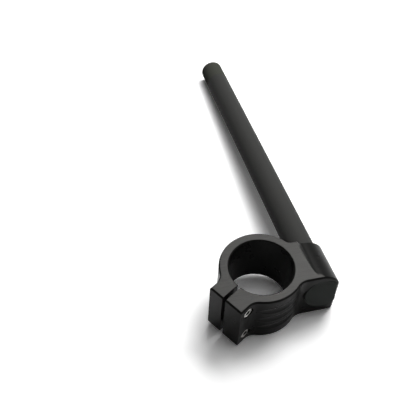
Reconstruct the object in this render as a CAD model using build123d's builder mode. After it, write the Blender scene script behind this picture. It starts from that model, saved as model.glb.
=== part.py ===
from build123d import *
from math import asin, cos, degrees, hypot, radians, sin, sqrt
import os

# Clip-on handlebar, right-hand side.
# Frame: origin on the fork axis at the clamp's bottom face, +Z up the fork leg,
# +X from the fork leg to the bar, +Y along the bar to its outer end.

# Driving dimensions, in millimetres and degrees

# Fork clamp
fork_bore_d = 48.0
clamp_height = 45.0
ring_wall = 7.2
jaw_angle = 212.4  # direction of the split, from +X
jaw_reach = 40.0  # fork axis to the end of the jaws
jaw_near = 16.4  # middle of the slit to the side with the bolt heads
jaw_far = 13.5  # middle of the slit to the side with the bolt threads
slit_width = 3.0
jaw_blend = 10.0  # concave radius between ring and jaws
edge_break = 1.2  # chamfer round the flat top and over the crown's inner end
foot_break = 0.8  # chamfer round the bottom face
bore_break = 0.9  # chamfer at both ends of the fork bore

# Handlebar tube and its place beside the fork leg
bar_d = 22.2
bar_seat_d = 21.6  # turned end of the tube, inside the barrel
bar_bore_d = 14.0
bar_offset = 43.0  # fork axis to bar axis, along +X
bar_height = 23.0  # bar axis above the bottom face, beside the fork axis
bar_droop = 8.0  # the outer end points down by this angle
bar_reach = 316.0  # fork axis to the outer end, along the bar
bar_end_break = 1.0  # chamfer on the outside of the outer end
bar_mouth_break = 0.5  # chamfer inside it

# Barrel, the part of the clamp that carries the tube
inner_face = 19.3  # fork axis to the inner end face, towards -Y
outer_face = 17.2  # fork axis to the outer end face, towards +Y
barrel_wall = 2.5  # thinnest wall, on the side away from the fork
barrel_top = 19.5  # bar axis to the crown of the barrel
barrel_round = 18.0
step_wall = 10.3  # bar axis to the step up to the flat top
step_blend = 6.0
inner_blend = 12.0  # concave radius between ring and inner end face
outer_blend = 5.0
corner_break = 2.4  # chamfer on the upright corner at the inner end

# Closing plug, pressed into the tube; its head stops the tube pulling through
plug_head_d = 28.0
plug_head_t = 3.4
plug_flat = 10.75  # bar axis to the flat on the head, on the side away from the fork
plug_seat = 17.5  # fork axis to the seat of the head, along the bar
plug_spigot_d = 16.0
plug_spigot = 24.0
plug_break = 0.5

# Pinch bolts, M5 socket head cap screws across the split
bolt_d = 5.0
bolt_head_d = 8.5
bolt_head_t = 5.0
bolt_length = 20.0
bolt_socket = 4.0  # across flats
bolt_socket_depth = 2.5
bolt_break = 0.5
bolt_edge = 8.0  # end of the jaws to bolt axis
bolt_spacing = 28.0
bolt_recess = 0.3  # top of the head below the side of the jaw

# Set screws that lock the tube from below
screw_d = 6.0
screw_length = 8.0
screw_socket = 3.0
screw_socket_depth = 3.5
screw_break = 0.4
screw_places = (-9.0, 8.0)  # along the bar, from the fork axis

# Scalloped grooves round the near wall of the ring
groove_count = 3
groove_pitch = 10.5
groove_depth = 0.8
groove_radius = 8.0
groove_margin = 1.5  # angle of plain wall left between a groove and a blend

# Clearances
bar_fit = 0.05
shoulder_fit = 0.3  # from the barrel's outer end to the tube's full diameter
plug_fit = 0.02
plug_end_fit = 0.5  # room at the end of the spigot
head_fit = 0.15
bolt_fit = 0.3
thread_fit = 0.05

# Values that follow from the driving dimensions
fork_bore_r = fork_bore_d / 2
ring_r = fork_bore_r + ring_wall
bar_r = bar_d / 2
bar_seat_r = bar_seat_d / 2
half_barrel = bar_r + barrel_wall
side_x = bar_offset + half_barrel
bolt_reach = jaw_reach - bolt_edge
round_x = half_barrel - barrel_round
round_y = barrel_top - barrel_round
cut_room = clamp_height + barrel_round + bar_offset  # longer than any cut through the clamp

droop_cos = cos(radians(bar_droop))
droop_sin = sin(radians(bar_droop))
bar_shoulder = (outer_face + bar_r * droop_sin) / droop_cos + shoulder_fit
jaw_out = (cos(radians(jaw_angle)), sin(radians(jaw_angle)))
jaw_across = (-jaw_out[1], jaw_out[0])


def blend_angle(face_distance, blend):
    """Angle on the ring from a face's direction to where the blend into that face begins."""
    return degrees(asin((face_distance + blend) / (ring_r + blend)))


# Ends of the ring's near wall, between jaw and inner end, as angles from +X
near_wall = (
    jaw_angle + blend_angle(jaw_near, jaw_blend),
    360 - blend_angle(inner_face, inner_blend),
)

# Section plane of the bar: x away from the fork, y up, z towards the inner end
bar_plane = Plane(
    origin=(bar_offset, 0, bar_height),
    x_dir=(1, 0, 0),
    z_dir=(0, -droop_cos, droop_sin),
)
seat_plane = bar_plane.offset(plug_seat)

# Bolt planes: on the side of the near jaw and under the bolt heads, z out of that side
jaw_side_plane = Plane(
    origin=(
        bolt_reach * jaw_out[0] + jaw_near * jaw_across[0],
        bolt_reach * jaw_out[1] + jaw_near * jaw_across[1],
        clamp_height / 2,
    ),
    x_dir=(jaw_out[0], jaw_out[1], 0),
    z_dir=(jaw_across[0], jaw_across[1], 0),
)
bolt_seat_plane = jaw_side_plane.offset(-bolt_head_t - bolt_recess)
bolt_axis = Axis(jaw_side_plane.origin, jaw_side_plane.z_dir)
bolt_rows = ((0, -bolt_spacing / 2), (0, bolt_spacing / 2))


def screw_plane(place):
    """Plane of one set screw: on the underside of the tube, z down through the barrel wall."""
    return Plane(
        origin=bar_plane.from_local_coords((0, -bar_seat_r, -place)),
        x_dir=(1, 0, 0),
        z_dir=(0, -droop_sin, -droop_cos),
    )


def plug_head(room, depth):
    """The plug's head, or with room round it the pocket for it: a disc with one flat side."""
    with BuildPart() as head:
        with BuildSketch(seat_plane):
            Circle(plug_head_d / 2 + room)
            with Locations((plug_flat + room, 0)):
                Rectangle(
                    plug_head_d,
                    2 * plug_head_d,
                    align=(Align.MIN, Align.CENTER),
                    mode=Mode.SUBTRACT,
                )
        extrude(amount=depth)
    return head.part


def groove_cutter(wall):
    """Rings that cut grooves into a stretch of wall, deepest in the middle and fading at both ends."""
    centre = (wall[0] + wall[1]) / 2
    fade = (wall[1] - wall[0]) / 2 - groove_margin
    shift = groove_depth / (1 - cos(radians(fade)))
    path_r = ring_r + shift * cos(radians(fade)) + groove_radius
    lowest = (clamp_height - (groove_count - 1) * groove_pitch) / 2
    hub = (-shift * cos(radians(centre)), -shift * sin(radians(centre)), 0)
    start = radians(centre - fade)
    section = Plane(
        origin=hub,
        x_dir=(cos(start), sin(start), 0),
        z_dir=(sin(start), -cos(start), 0),
    )
    with BuildPart() as rings:
        with BuildSketch(section):
            for row in range(groove_count):
                with Locations((path_r, lowest + row * groove_pitch)):
                    Circle(groove_radius)
        revolve(axis=Axis(hub, (0, 0, 1)), revolution_arc=2 * fade)
    return rings.part


def on_ring(corner):
    """True for a corner of the outline where another shape runs into the ring."""
    return abs(hypot(corner.X, corner.Y) - ring_r) < 0.01


# Clamp body: ring, split jaws and barrel machined from one block
with BuildPart() as clamp_body:
    with BuildSketch() as outline:
        Circle(ring_r)
        with Locations((-jaw_far * jaw_across[0], -jaw_far * jaw_across[1])):
            Rectangle(
                jaw_reach,
                jaw_far + jaw_near,
                rotation=jaw_angle,
                align=(Align.MIN, Align.MIN),
            )
        with Locations((0, -inner_face)):
            Rectangle(side_x, inner_face + outer_face, align=(Align.MIN, Align.MIN))
        fillet(outline.vertices().filter_by(on_ring).filter_by(lambda v: v.X < 0), jaw_blend)
        fillet(outline.vertices().filter_by(on_ring).filter_by(lambda v: v.X > 0 > v.Y), inner_blend)
        fillet(outline.vertices().filter_by(on_ring).filter_by(lambda v: v.X > 0 and v.Y > 0), outer_blend)
        chamfer(outline.vertices().sort_by(Axis((0, 0, 0), (1, -1, 0)))[-1], corner_break)
    extrude(amount=clamp_height)
    chamfer(clamp_body.faces().sort_by(Axis.Z)[-1].edges(), edge_break)
    chamfer(clamp_body.faces().sort_by(Axis.Z)[0].edges(), foot_break)

    # Drooping barrel: everything outside its section is cut away along the bar
    with BuildSketch(bar_plane) as barrel_cut:
        with BuildLine():
            arc_left = round_y + sqrt(barrel_round**2 - (step_wall + round_x) ** 2)
            Line((-step_wall, cut_room), (-step_wall, arc_left))
            ThreePointArc(
                (-step_wall, arc_left),
                (round_x, barrel_top),
                (half_barrel, round_y),
            )
            Polyline(
                (half_barrel, round_y),
                (half_barrel, -cut_room),
                (cut_room, -cut_room),
                (cut_room, cut_room),
                (-step_wall, cut_room),
            )
        make_face()
        step_foot = barrel_cut.vertices().filter_by(lambda v: abs(v.X + step_wall) < 0.01)
        fillet(step_foot.sort_by(Axis.Y)[0], step_blend)
    extrude(amount=cut_room, both=True, mode=Mode.SUBTRACT)
    inner_end = clamp_body.faces().filter_by(Axis.Y).sort_by(Axis.Y)[0]
    chamfer(inner_end.edges().filter_by(GeomType.ELLIPSE), edge_break)

    # Grooves round the near wall
    add(groove_cutter(near_wall), mode=Mode.SUBTRACT)

    # Fork bore and the slit between the jaws
    Hole(fork_bore_r)
    rims = clamp_body.edges().filter_by(GeomType.CIRCLE)
    chamfer(rims.filter_by(lambda e: abs(e.radius - fork_bore_r) < 0.01), bore_break)
    with BuildSketch():
        Rectangle(
            2 * jaw_reach,
            slit_width,
            rotation=jaw_angle,
            align=(Align.MIN, Align.CENTER),
        )
    extrude(amount=clamp_height, mode=Mode.SUBTRACT)

    # Seat of the tube, with a pocket for the plug's head
    with BuildSketch(bar_plane):
        Circle(bar_seat_r + bar_fit)
    extrude(amount=cut_room, both=True, mode=Mode.SUBTRACT)
    add(plug_head(head_fit, cut_room), mode=Mode.SUBTRACT)

    # Pinch bolts: head pockets and clearance holes in the near jaw, threads in the far one
    with BuildSketch(bolt_seat_plane):
        with Locations(*bolt_rows):
            Circle(bolt_head_d / 2 + bolt_fit)
    extrude(amount=bolt_head_t + bolt_recess + jaw_blend, mode=Mode.SUBTRACT)
    with BuildSketch(bolt_seat_plane):
        with Locations(*bolt_rows):
            Circle(bolt_d / 2 + bolt_fit)
    extrude(amount=-(jaw_near - bolt_head_t - bolt_recess), mode=Mode.SUBTRACT)
    with BuildSketch(bolt_seat_plane):
        with Locations(*bolt_rows):
            Circle(bolt_d / 2 + thread_fit)
    extrude(amount=-(jaw_near + jaw_far + jaw_blend), mode=Mode.SUBTRACT)

    # Threads of the set screws, up through the foot to the tube
    for place in screw_places:
        with BuildSketch(screw_plane(place).offset(-bar_seat_r)):
            Circle(screw_d / 2 + thread_fit)
        extrude(amount=cut_room, mode=Mode.SUBTRACT)

# Handlebar tube: a turned seat in the barrel, then full diameter to the open outer end
with BuildPart() as handlebar_tube:
    with BuildSketch(seat_plane):
        Circle(bar_seat_r)
    extrude(amount=-(plug_seat + bar_shoulder))
    with BuildSketch(bar_plane.offset(-bar_shoulder)):
        Circle(bar_r)
    extrude(amount=-(bar_reach - bar_shoulder))
    with BuildSketch(seat_plane):
        Circle(bar_bore_d / 2)
    extrude(amount=-(plug_seat + bar_reach), mode=Mode.SUBTRACT)
    with BuildSketch(seat_plane):
        Circle(plug_spigot_d / 2 + plug_fit)
    extrude(amount=-(plug_spigot + plug_end_fit), mode=Mode.SUBTRACT)
    open_end = handlebar_tube.faces().filter_by(GeomType.PLANE).sort_by(Axis.Y)[-1]
    chamfer(open_end.outer_wire().edges(), bar_end_break)
    mouth = handlebar_tube.faces().filter_by(GeomType.PLANE).sort_by(Axis.Y)[-1]
    chamfer(mouth.inner_wires().edges(), bar_mouth_break)

# Closing plug: a flat head in its pocket and a spigot pressed into the tube
with BuildPart() as tube_plug:
    add(plug_head(0, plug_head_t))
    with BuildSketch(seat_plane):
        Circle(plug_spigot_d / 2)
    extrude(amount=-plug_spigot)
    chamfer(tube_plug.faces().sort_by(Axis.Y)[0].edges(), plug_break)

# Pinch bolts: two cap screws across the split
with BuildPart() as pinch_bolts:
    with BuildSketch(bolt_seat_plane):
        with Locations(*bolt_rows):
            Circle(bolt_head_d / 2)
    extrude(amount=bolt_head_t)
    chamfer(pinch_bolts.faces().group_by(bolt_axis)[-1].edges(), bolt_break)
    with BuildSketch(bolt_seat_plane.offset(bolt_head_t)):
        with Locations(*bolt_rows):
            RegularPolygon(bolt_socket / 2, 6, major_radius=False)
    extrude(amount=-bolt_socket_depth, mode=Mode.SUBTRACT)
    with BuildSketch(bolt_seat_plane):
        with Locations(*bolt_rows):
            Circle(bolt_d / 2)
    extrude(amount=-bolt_length)
    chamfer(pinch_bolts.faces().group_by(bolt_axis)[0].edges(), bolt_break)

# Set screws: two headless screws that bear on the underside of the tube
with BuildPart() as bar_set_screws:
    for place in screw_places:
        with BuildSketch(screw_plane(place)):
            Circle(screw_d / 2)
        extrude(amount=screw_length)
        with BuildSketch(screw_plane(place).offset(screw_length)):
            RegularPolygon(screw_socket / 2, 6, major_radius=False)
        extrude(amount=-screw_socket_depth, mode=Mode.SUBTRACT)
    screw_rims = bar_set_screws.edges().filter_by(GeomType.CIRCLE).sort_by(Axis.Z)
    chamfer(screw_rims[: len(screw_places)], screw_break)

# One STEP file for each piece
os.makedirs("parts", exist_ok=True)
clamp_body.part.label = "clamp_body"
export_step(clamp_body.part, "parts/clamp_body.step")
handlebar_tube.part.label = "handlebar_tube"
export_step(handlebar_tube.part, "parts/handlebar_tube.step")
tube_plug.part.label = "tube_plug"
export_step(tube_plug.part, "parts/tube_plug.step")
pinch_bolts.part.label = "pinch_bolts"
export_step(pinch_bolts.part, "parts/pinch_bolts.step")
bar_set_screws.part.label = "bar_set_screws"
export_step(bar_set_screws.part, "parts/bar_set_screws.step")
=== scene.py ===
from math import cos, radians, sin

import bpy
from mathutils import Matrix, Vector

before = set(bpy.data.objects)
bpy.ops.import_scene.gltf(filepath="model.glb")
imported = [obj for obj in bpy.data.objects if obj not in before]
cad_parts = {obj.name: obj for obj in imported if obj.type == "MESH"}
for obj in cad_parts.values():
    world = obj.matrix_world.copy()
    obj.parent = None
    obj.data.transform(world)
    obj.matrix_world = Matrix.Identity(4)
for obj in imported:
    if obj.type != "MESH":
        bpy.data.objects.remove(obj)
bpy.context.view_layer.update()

# Driving values, in metres and degrees unless a name says otherwise

MM = 0.001
WHITE = "#ffffff"
GRAIN_DEPTH = 0.02 * MM

# Camera: a short tele lens that looks down on the clamp from the fork side
CAMERA_PLACE = (-0.11698, -0.25568, 0.43082)
CAMERA_FORWARD = (0.1713, 0.6375, -0.7512)
CAMERA_RIGHT = (0.9729, -0.2295, 0.0271)
CAMERA_LENS_MM = 58.56
CAMERA_SENSOR_MM = 36.0
CAMERA_CLIP = 0.01

# Clamp finish: black up to just under the flat top, whose paler grey is a painted sheen of the
# lamps above
CLAMP_TOP = 45 * MM
TOP_SHEEN_BEGINS = CLAMP_TOP - 0.3 * MM
TOP_SHEEN_FULL = CLAMP_TOP - 0.05 * MM
MILLING_TURN = 20.0
WALL_BLACK = "#131312"
# Painted sheen of the flat top: two greys standing in for the lamps' reflection, with milling lines
# between them
TOP_SHEEN_DARK = "#3e3e3d"
TOP_SHEEN_PALE = "#51504e"
CLAMP_ROUGHNESS = (0.25, 0.32)
CLAMP_SHINE = 0.05
CLAMP_RELIEF = 0.05

# Tube finish: the duller band is the last 28 mm of the tube, measured along it
BAR_DROOP = 8.0
BAND_BEGINS = 284.8 * MM
BAND_FULL = BAND_BEGINS + 0.8 * MM
TUBE_BLACK = "#3b3b3a"
BAND_BLACK = "#40413c"
TUBE_ROUGHNESS = (0.5, 0.6)
BAND_ROUGHER = 0.3
TUBE_SHINE = 0.02
TUBE_RELIEF = 0.06

# Plug finish
PLUG_BLACK = "#292c2a"
PLUG_ROUGHNESS = 0.6
PLUG_SHINE = 0.1
PLUG_RELIEF = 0.08

# Bolt finish: the split's direction from +X, and how far from the split the painted shade of the
# sockets gives way to bright plating
JAW_TURN = 212.4
SOCKET_SHADE_GONE = 15.6 * MM
SOCKET_SHADE_FADES = SOCKET_SHADE_GONE - 0.1 * MM
PLATE_BRIGHT = "#f0eeea"
# Painted shade of the sockets: dull dark grey deeper than the face of the head
SOCKET_PAINTED_SHADE = "#3a3937"
BOLT_ROUGHNESS = (0.26, 0.36)

# Set screw finish
SCREW_BLACK = "#333436"
SCREW_ROUGHNESS = (0.3, 0.45)

# Floor paper: the way in which each of the part's three feet lies farthest, and the tones
JAW_FOOT_WAY = (-0.1, -0.5, -3.0)
BARREL_FOOT_WAY = (1.0, -0.5, -3.0)
TUBE_TIP_WAY = (0.0, 1.0, -1.0)
FLOOR_SIZE = 60.0
FLOOR_NEAR, FLOOR_FAR = 0.34, 0.8  # from the lit paper to plain white
FLOOR_LIFT = 0.01  # glow of the paper near the part, to the eye only
FLOOR_BOUNCE = "#505050"  # the paper as it lights the object
FLOOR_WHITE = 1.2  # the paper as the eye and the gloss see it, white out to the shadow's edge

# Lamps: each one's turn is from +Y towards +X, and its rise is above the XY plane
LIGHT_AIM = (0.04, 0.08, 0.0)
KEY_TURN, KEY_RISE, KEY_DISTANCE = 50.0, 60.0, 1.35
KEY_SIZE = (0.55, 0.36)
KEY_WATTS = 7.2
TOP_TURN, TOP_RISE, TOP_DISTANCE = 40.0, 75.0, 1.2
TOP_SIZE = (0.8, 0.8)
TOP_WATTS = 5.75
SIDE_TURN, SIDE_RISE, SIDE_DISTANCE = 32.0, 48.0, 1.2
SIDE_SIZE = (0.8, 0.6)
SIDE_WATTS = 6.0

# Room: palest at the horizon on its bright side. Heights are on the unit sphere
ROOM_HORIZON = 1.1
ROOM_ZENITH = 0.16
ROOM_ZENITH_FROM = 0.8
ROOM_BRIGHT_SIDE = (1.0, 0.0, 0.0)
ROOM_DARK_SHARE = 0.05
ROOM_WHITE_TO, ROOM_FADED_BY = 0.2, 0.35  # white backdrop low down


def linear(hex_colour):
    """An sRGB hex colour as linear RGBA."""
    channels = [int(hex_colour[i:i + 2], 16) / 255 for i in (1, 3, 5)]
    return [c / 12.92 if c <= 0.04045 else ((c + 0.055) / 1.055) ** 2.4 for c in channels] + [1.0]


def add_node(tree, kind, values=None, links=None, **settings):
    """Adds one shader node with its settings, its socket values and its links."""
    made = tree.nodes.new(kind)
    for name, value in settings.items():
        setattr(made, name, value)
    for socket, value in (values or {}).items():
        made.inputs[socket].default_value = value
    for socket, source in (links or {}).items():
        tree.links.new(source, made.inputs[socket])
    return made


def new_material(name):
    """An empty node material."""
    material = bpy.data.materials.new(name)
    material.use_nodes = True
    material.node_tree.nodes.clear()
    return material, material.node_tree


# Finishes


def satin_anodised_aluminium():
    """Black anodised aluminium: deep black satin, with the flat top painted a paler grey as a
    painted sheen of the lamps above, faintly lined with milling marks."""
    material, tree = new_material("satin_black_anodised_aluminium")
    place = add_node(tree, "ShaderNodeTexCoord").outputs["Object"]
    # Etched grain: real grain is about 0.05 mm, too fine for the render, so drawn at 0.35 mm
    grain_size = 0.35 * MM
    grain = add_node(tree, "ShaderNodeTexNoise", {"Scale": 1 / grain_size, "Detail": 3.0},
                     {"Vector": place})
    # The shine varies a little over areas of about 9 mm
    cloud_size = 9 * MM
    cloud = add_node(tree, "ShaderNodeTexNoise", {"Scale": 1 / cloud_size, "Detail": 2.0},
                     {"Vector": place})
    # Milling lines of the top: real ones are about 0.1 mm apart, drawn at 0.5 mm so that they show
    line_width, line_length = 0.5 * MM, 12 * MM
    lined = add_node(tree, "ShaderNodeMapping",
                     {"Rotation": (0, 0, radians(MILLING_TURN)),
                      "Scale": (1 / line_length, 1 / line_width, 1 / line_length)},
                     {"Vector": place})
    lines = add_node(tree, "ShaderNodeTexNoise", {"Scale": 1.0, "Detail": 2.0},
                     {"Vector": lined.outputs["Vector"]})
    # Painted sheen of the lamps on the flat top, lined with milling marks
    milled_sheen = add_node(tree, "ShaderNodeMixRGB",
                      {"Color1": linear(TOP_SHEEN_DARK), "Color2": linear(TOP_SHEEN_PALE)},
                      {"Fac": lines.outputs["Fac"]})
    height = add_node(tree, "ShaderNodeSeparateXYZ", None, {"Vector": place})
    # Mask of the painted top sheen: from just under the flat top upwards
    top_sheen_mask = add_node(tree, "ShaderNodeMapRange", {"From Min": TOP_SHEEN_BEGINS, "From Max": TOP_SHEEN_FULL},
                      {"Value": height.outputs["Z"]})
    colour = add_node(tree, "ShaderNodeMixRGB", {"Color1": linear(WALL_BLACK)},
                      {"Fac": top_sheen_mask.outputs["Result"], "Color2": milled_sheen.outputs["Color"]})
    gloss = add_node(tree, "ShaderNodeMapRange",
                     {"To Min": CLAMP_ROUGHNESS[0], "To Max": CLAMP_ROUGHNESS[1]},
                     {"Value": cloud.outputs["Fac"]})
    relief = add_node(tree, "ShaderNodeBump", {"Strength": CLAMP_RELIEF, "Distance": GRAIN_DEPTH},
                      {"Height": grain.outputs["Fac"]})
    skin = add_node(tree, "ShaderNodeBsdfPrincipled", {"Specular IOR Level": CLAMP_SHINE},
                    {"Base Color": colour.outputs["Color"], "Roughness": gloss.outputs["Result"],
                     "Normal": relief.outputs["Normal"]})
    add_node(tree, "ShaderNodeOutputMaterial", None, {"Surface": skin.outputs["BSDF"]})
    return material


def matte_anodised_tube():
    """Black anodised tube: drawn, then blasted matte, with a soft grey sheen along it and a
    duller, faintly olive band at the outer end."""
    material, tree = new_material("matte_black_anodised_tube")
    place = add_node(tree, "ShaderNodeTexCoord").outputs["Object"]
    # Blasted grain: real pits are about 0.1 mm, too fine for the render, so drawn at 0.5 mm
    grain_size = 0.5 * MM
    grain = add_node(tree, "ShaderNodeTexNoise", {"Scale": 1 / grain_size, "Detail": 3.0},
                     {"Vector": place})
    gloss = add_node(tree, "ShaderNodeMapRange",
                     {"To Min": TUBE_ROUGHNESS[0], "To Max": TUBE_ROUGHNESS[1]},
                     {"Value": grain.outputs["Fac"]})
    relief = add_node(tree, "ShaderNodeBump", {"Strength": TUBE_RELIEF, "Distance": GRAIN_DEPTH},
                      {"Height": grain.outputs["Fac"]})
    outwards = (0, cos(radians(BAR_DROOP)), -sin(radians(BAR_DROOP)))
    along = add_node(tree, "ShaderNodeVectorMath", {1: outwards}, {0: place},
                     operation="DOT_PRODUCT")
    band = add_node(tree, "ShaderNodeMapRange", {"From Min": BAND_BEGINS, "From Max": BAND_FULL},
                    {"Value": along.outputs["Value"]}).outputs["Result"]
    colour = add_node(tree, "ShaderNodeMixRGB",
                      {"Color1": linear(TUBE_BLACK), "Color2": linear(BAND_BLACK)}, {"Fac": band})
    duller = add_node(tree, "ShaderNodeMath", {1: BAND_ROUGHER},
                      {0: band, 2: gloss.outputs["Result"]}, operation="MULTIPLY_ADD")
    skin = add_node(tree, "ShaderNodeBsdfPrincipled", {"Specular IOR Level": TUBE_SHINE},
                    {"Base Color": colour.outputs["Color"], "Roughness": duller.outputs["Value"],
                     "Normal": relief.outputs["Normal"]})
    add_node(tree, "ShaderNodeOutputMaterial", None, {"Surface": skin.outputs["BSDF"]})
    return material


def matte_anodised_plug():
    """Black anodised plug, blasted rough: hardly any gloss, a little lighter than the clamp."""
    material, tree = new_material("matte_black_anodised_plug")
    place = add_node(tree, "ShaderNodeTexCoord").outputs["Object"]
    # Blasted grain: real pits are about 0.1 mm, too fine for the render, so drawn at 0.4 mm
    grain_size = 0.4 * MM
    grain = add_node(tree, "ShaderNodeTexNoise", {"Scale": 1 / grain_size, "Detail": 3.0},
                     {"Vector": place})
    relief = add_node(tree, "ShaderNodeBump", {"Strength": PLUG_RELIEF, "Distance": GRAIN_DEPTH},
                      {"Height": grain.outputs["Fac"]})
    skin = add_node(tree, "ShaderNodeBsdfPrincipled",
                    {"Base Color": linear(PLUG_BLACK), "Specular IOR Level": PLUG_SHINE,
                     "Roughness": PLUG_ROUGHNESS},
                    {"Normal": relief.outputs["Normal"]})
    add_node(tree, "ShaderNodeOutputMaterial", None, {"Surface": skin.outputs["BSDF"]})
    return material


def plated_steel():
    """Bright zinc plating on steel: slightly warm metal with a fine uneven shine, painted dull and
    dark deeper than the face of the head, a painted shade down in the sockets."""
    material, tree = new_material("bright_zinc_plated_steel")
    place = add_node(tree, "ShaderNodeTexCoord").outputs["Object"]
    # Plating grain: real crystals are far below 0.1 mm, too fine for the render, so drawn at 0.6 mm
    grain_size = 0.6 * MM
    grain = add_node(tree, "ShaderNodeTexNoise", {"Scale": 1 / grain_size, "Detail": 2.0},
                     {"Vector": place})
    gloss = add_node(tree, "ShaderNodeMapRange",
                     {"To Min": BOLT_ROUGHNESS[0], "To Max": BOLT_ROUGHNESS[1]},
                     {"Value": grain.outputs["Fac"]})
    across_jaws = (-sin(radians(JAW_TURN)), cos(radians(JAW_TURN)), 0)
    depth = add_node(tree, "ShaderNodeVectorMath", {1: across_jaws}, {0: place},
                     operation="DOT_PRODUCT")
    # Painted shade: dark deeper than the head's face, down in the sockets
    out_of_socket_shade = add_node(tree, "ShaderNodeMapRange",
                      {"From Min": SOCKET_SHADE_FADES, "From Max": SOCKET_SHADE_GONE},
                      {"Value": depth.outputs["Value"]})
    metal = add_node(tree, "ShaderNodeMixRGB",
                     {"Color1": linear(SOCKET_PAINTED_SHADE), "Color2": linear(PLATE_BRIGHT)},
                     {"Fac": out_of_socket_shade.outputs["Result"]})
    skin = add_node(tree, "ShaderNodeBsdfPrincipled", {"Metallic": 1.0},
                    {"Base Color": metal.outputs["Color"], "Roughness": gloss.outputs["Result"]})
    add_node(tree, "ShaderNodeOutputMaterial", None, {"Surface": skin.outputs["BSDF"]})
    return material


def black_oxide_steel():
    """Black oxide steel: an oiled, near-black metal with a dull shine."""
    material, tree = new_material("black_oxide_steel")
    place = add_node(tree, "ShaderNodeTexCoord").outputs["Object"]
    # The shine of the oil film varies over about 0.5 mm
    film_size = 0.5 * MM
    film = add_node(tree, "ShaderNodeTexNoise", {"Scale": 1 / film_size, "Detail": 2.0},
                    {"Vector": place})
    gloss = add_node(tree, "ShaderNodeMapRange",
                     {"To Min": SCREW_ROUGHNESS[0], "To Max": SCREW_ROUGHNESS[1]},
                     {"Value": film.outputs["Fac"]})
    skin = add_node(tree, "ShaderNodeBsdfPrincipled",
                    {"Base Color": linear(SCREW_BLACK), "Metallic": 1.0},
                    {"Roughness": gloss.outputs["Result"]})
    add_node(tree, "ShaderNodeOutputMaterial", None, {"Surface": skin.outputs["BSDF"]})
    return material


def dress(node_name, material):
    """Gives a CAD node its finish."""
    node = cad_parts[node_name]
    if not node.material_slots:
        node.data.materials.append(material)
    for material_slot in node.material_slots:
        material_slot.material = material


dress("clamp_body", satin_anodised_aluminium())
dress("handlebar_tube", matte_anodised_tube())
dress("tube_plug", matte_anodised_plug())
dress("pinch_bolts", plated_steel())
dress("bar_set_screws", black_oxide_steel())


# Floor: the bar lies on the foot of its jaws, the foot of its barrel and the tip of the tube


def farthest(node_name, direction):
    """The corner of a CAD node that lies farthest along a direction."""
    way = Vector(direction)
    corners = [v.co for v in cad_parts[node_name].data.vertices]
    return max(corners, key=lambda co: co.dot(way)).copy()


jaw_foot = farthest("clamp_body", JAW_FOOT_WAY)
barrel_foot = farthest("clamp_body", BARREL_FOOT_WAY)
tube_tip = farthest("handlebar_tube", TUBE_TIP_WAY)
floor_normal = (barrel_foot - jaw_foot).cross(tube_tip - jaw_foot).normalized()
floor_turn = Vector((0, 0, 1)).rotation_difference(floor_normal).to_matrix().to_4x4()
floor_height = jaw_foot.dot(floor_normal)


def seen_by(tree):
    """1 for what the eye sees, also in metal or through glass, and 0 for the light that falls
    on things."""
    path = add_node(tree, "ShaderNodeLightPath")
    bounced = add_node(tree, "ShaderNodeMath", None,
                       {0: path.outputs["Is Glossy Ray"], 1: path.outputs["Is Transmission Ray"]},
                       operation="MAXIMUM")
    seen = add_node(tree, "ShaderNodeMath", None,
                    {0: path.outputs["Is Camera Ray"], 1: bounced.outputs["Value"]},
                    operation="MAXIMUM")
    return seen.outputs["Value"]


def white_floor_paper():
    """White backdrop paper: matte, bright, and white to the camera where no shadow falls."""
    material, tree = new_material("white_floor_paper")
    seen = seen_by(tree)
    place = add_node(tree, "ShaderNodeTexCoord").outputs["Object"]
    away = add_node(tree, "ShaderNodeVectorMath", None, {0: place}, operation="LENGTH")
    burn = add_node(tree, "ShaderNodeMapRange",
                    {"From Min": FLOOR_NEAR, "From Max": FLOOR_FAR,
                     "To Min": FLOOR_LIFT, "To Max": 1.0},
                    {"Value": away.outputs["Value"]})
    lift = add_node(tree, "ShaderNodeMath", None, {0: seen, 1: burn.outputs["Result"]},
                    operation="MULTIPLY")
    tone = add_node(tree, "ShaderNodeMixRGB",
                    {"Color1": linear(FLOOR_BOUNCE), "Color2": [FLOOR_WHITE] * 3 + [1.0]},
                    {"Fac": seen})
    paper = add_node(tree, "ShaderNodeBsdfDiffuse", None, {"Color": tone.outputs["Color"]})
    glow = add_node(tree, "ShaderNodeEmission", {"Color": linear(WHITE)},
                    {"Strength": lift.outputs["Value"]})
    both = add_node(tree, "ShaderNodeAddShader", None,
                    {0: paper.outputs["BSDF"], 1: glow.outputs["Emission"]})
    add_node(tree, "ShaderNodeOutputMaterial", None, {"Surface": both.outputs["Shader"]})
    return material


bpy.ops.object.select_all(action="DESELECT")
bpy.ops.mesh.primitive_plane_add(size=FLOOR_SIZE)
floor = bpy.context.object
floor.name = "floor"
floor.data.transform(Matrix.Translation(floor_normal * floor_height) @ floor_turn)
floor.data.materials.append(white_floor_paper())


# Studio light: three soft lamps above and behind, in a room that is palest low down at +X


def soft_lamp(name, turn, rise, distance, size, watts):
    """A rectangular soft lamp that faces the object, placed by its turn from +Y and its rise."""
    level = cos(radians(rise))
    way = Vector((level * sin(radians(turn)), level * cos(radians(turn)), sin(radians(rise))))
    lamp = bpy.data.lights.new(name, "AREA")
    lamp.shape = "RECTANGLE"
    lamp.size, lamp.size_y = size
    lamp.energy = watts
    made = bpy.data.objects.new(name, lamp)
    made.location = Vector(LIGHT_AIM) + way * distance
    made.rotation_euler = way.to_track_quat("Z", "Y").to_euler()
    bpy.context.scene.collection.objects.link(made)


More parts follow.
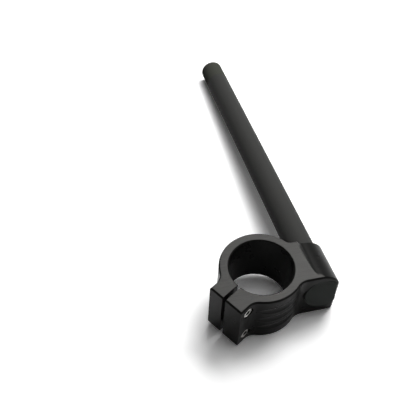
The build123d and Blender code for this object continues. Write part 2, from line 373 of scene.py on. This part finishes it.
def pale_room():
    """A soft room: bright low down on one side, dark overhead, and white to the eye just above the
    floor's horizon."""
    world = bpy.data.worlds.new("pale_room")
    world.use_nodes = True
    tree = world.node_tree
    tree.nodes.clear()
    look = add_node(tree, "ShaderNodeTexCoord").outputs["Generated"]
    height = add_node(tree, "ShaderNodeSeparateXYZ", None, {"Vector": look}).outputs["Z"]
    fade = add_node(tree, "ShaderNodeMapRange",
                    {"From Min": 0.0, "From Max": ROOM_ZENITH_FROM,
                     "To Min": ROOM_HORIZON, "To Max": ROOM_ZENITH},
                    {"Value": height})
    turn = add_node(tree, "ShaderNodeVectorMath", {1: ROOM_BRIGHT_SIDE}, {0: look},
                    operation="DOT_PRODUCT")
    side = add_node(tree, "ShaderNodeMapRange",
                    {"From Min": -1.0, "From Max": 1.0,
                     "To Min": ROOM_DARK_SHARE, "To Max": 1.0},
                    {"Value": turn.outputs["Value"]})
    level = add_node(tree, "ShaderNodeMath", None,
                     {0: fade.outputs["Result"], 1: side.outputs["Result"]}, operation="MULTIPLY")
    low_down = add_node(tree, "ShaderNodeMapRange",
                        {"From Min": ROOM_WHITE_TO, "From Max": ROOM_FADED_BY,
                         "To Min": 1.0, "To Max": 0.0},
                        {"Value": height})
    backdrop = add_node(tree, "ShaderNodeMath", None,
                        {0: seen_by(tree), 1: low_down.outputs["Result"]}, operation="MULTIPLY")
    short_of_white = add_node(tree, "ShaderNodeMath", {0: 1.0}, {1: level.outputs["Value"]},
                              operation="SUBTRACT")
    strength = add_node(tree, "ShaderNodeMath", None,
                        {0: backdrop.outputs["Value"], 1: short_of_white.outputs["Value"],
                         2: level.outputs["Value"]}, operation="MULTIPLY_ADD")
    room = add_node(tree, "ShaderNodeBackground", {"Color": linear(WHITE)},
                    {"Strength": strength.outputs["Value"]})
    add_node(tree, "ShaderNodeOutputWorld", None, {"Surface": room.outputs["Background"]})
    return world


soft_lamp("key_softbox", KEY_TURN, KEY_RISE, KEY_DISTANCE, KEY_SIZE, KEY_WATTS)
soft_lamp("top_softbox", TOP_TURN, TOP_RISE, TOP_DISTANCE, TOP_SIZE, TOP_WATTS)
soft_lamp("side_softbox", SIDE_TURN, SIDE_RISE, SIDE_DISTANCE, SIDE_SIZE, SIDE_WATTS)
bpy.context.scene.world = pale_room()

# Camera
lens = bpy.data.cameras.new("camera")
lens.lens = CAMERA_LENS_MM
lens.sensor_width = CAMERA_SENSOR_MM
lens.clip_start = CAMERA_CLIP
camera = bpy.data.objects.new("camera", lens)
forward = Vector(CAMERA_FORWARD).normalized()
right = Vector(CAMERA_RIGHT)
right = (right - forward * right.dot(forward)).normalized()
up = right.cross(forward)
camera_turn = Matrix((right, up, -forward)).transposed().to_4x4()
camera.matrix_world = Matrix.Translation(CAMERA_PLACE) @ camera_turn
bpy.context.scene.collection.objects.link(camera)
bpy.context.scene.camera = camera
bpy.context.scene.view_settings.view_transform = "Standard"
